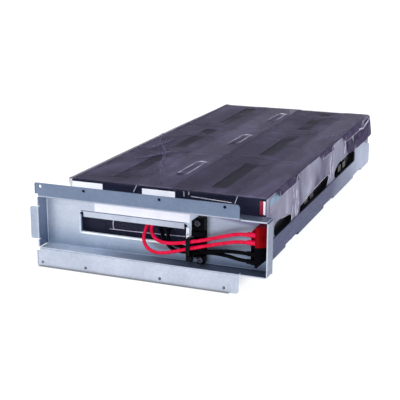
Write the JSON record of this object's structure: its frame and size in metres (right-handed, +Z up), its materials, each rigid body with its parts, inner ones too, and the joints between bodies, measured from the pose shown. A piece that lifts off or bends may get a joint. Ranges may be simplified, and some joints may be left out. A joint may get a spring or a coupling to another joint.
{
  "type": "ups battery cartridge",
  "caption": "Flat slide-in battery module: shrink-wrapped lead-acid batteries in a folded steel tray, with a screwed front pan and leads through a window to red and black plugs.",
  "frame": {"origin": "centre of the outer four flange screw holes, on the flanges' front face", "axes": "+X to the right seen from the front, +Y back along the batteries, +Z up"},
  "size_m": [0.2483, 0.4803, 0.0887],
  "materials": {
    "galvanised_steel": "satin, zinc coated",
    "battery_case": "matte",
    "tinned_brass": "tinned, satin",
    "shrink_film": "glossy, clear over dark cases",
    "white_label": "semi-gloss",
    "red_label": "semi-gloss",
    "pale_label": "semi-gloss",
    "white_nylon": "satin",
    "black_plastic": "satin",
    "plated_steel": "satin",
    "tie_nylon": "satin",
    "red_plastic": "satin",
    "red_insulation": "satin",
    "black_insulation": "satin"
  },
  "bodies": {
    "root": {"front_pan": "galvanised_steel", "battery_tray": "galvanised_steel", "battery_1_l_case": "battery_case", "battery_1_l_lid": "battery_case", "battery_1_l_vent_cover": "battery_case", "battery_1_l_terminals": "tinned_brass", "battery_2_l_case": "battery_case", "battery_2_l_lid": "battery_case", "battery_2_l_vent_cover": "battery_case", "battery_2_l_terminals": "tinned_brass", "battery_3_l_case": "battery_case", "battery_3_l_lid": "battery_case", "battery_3_l_vent_cover": "battery_case", "battery_3_l_terminals": "tinned_brass", "battery_1_r_case": "battery_case", "battery_1_r_lid": "battery_case", "battery_1_r_vent_cover": "battery_case", "battery_1_r_terminals": "tinned_brass", "battery_2_r_case": "battery_case", "battery_2_r_lid": "battery_case", "battery_2_r_vent_cover": "battery_case", "battery_2_r_terminals": "tinned_brass", "battery_3_r_case": "battery_case", "battery_3_r_lid": "battery_case", "battery_3_r_vent_cover": "battery_case", "battery_3_r_terminals": "tinned_brass", "film_wrap": "shrink_film", "film_label_left": "white_label", "film_label_middle": "white_label", "film_label_right": "red_label", "film_label_side": "pale_label", "pan_label": "white_label", "window_edging": "white_nylon", "cable_saddle": "black_plastic", "saddle_screws": "plated_steel", "cable_tie": "tie_nylon", "connector_red": "red_plastic", "connector_black": "black_plastic", "contact_red": "tinned_brass", "contact_black": "tinned_brass", "lead_sleeves_red": "red_insulation", "lead_sleeves_black": "black_insulation", "boot_red_left": "red_plastic", "boot_black_left": "black_plastic", "lead_red_left": "red_insulation", "lead_black_left": "black_insulation", "link_1_left": "black_insulation", "link_1_left_boots": "black_plastic", "link_2_left": "black_insulation", "link_2_left_boots": "black_plastic", "boot_red_right": "red_plastic", "boot_black_right": "black_plastic", "lead_red_right": "red_insulation", "lead_black_right": "black_insulation", "link_1_right": "black_insulation", "link_1_right_boots": "black_plastic", "link_2_right": "black_insulation", "link_2_right_boots": "black_plastic"}
  },
  "joints": []
}
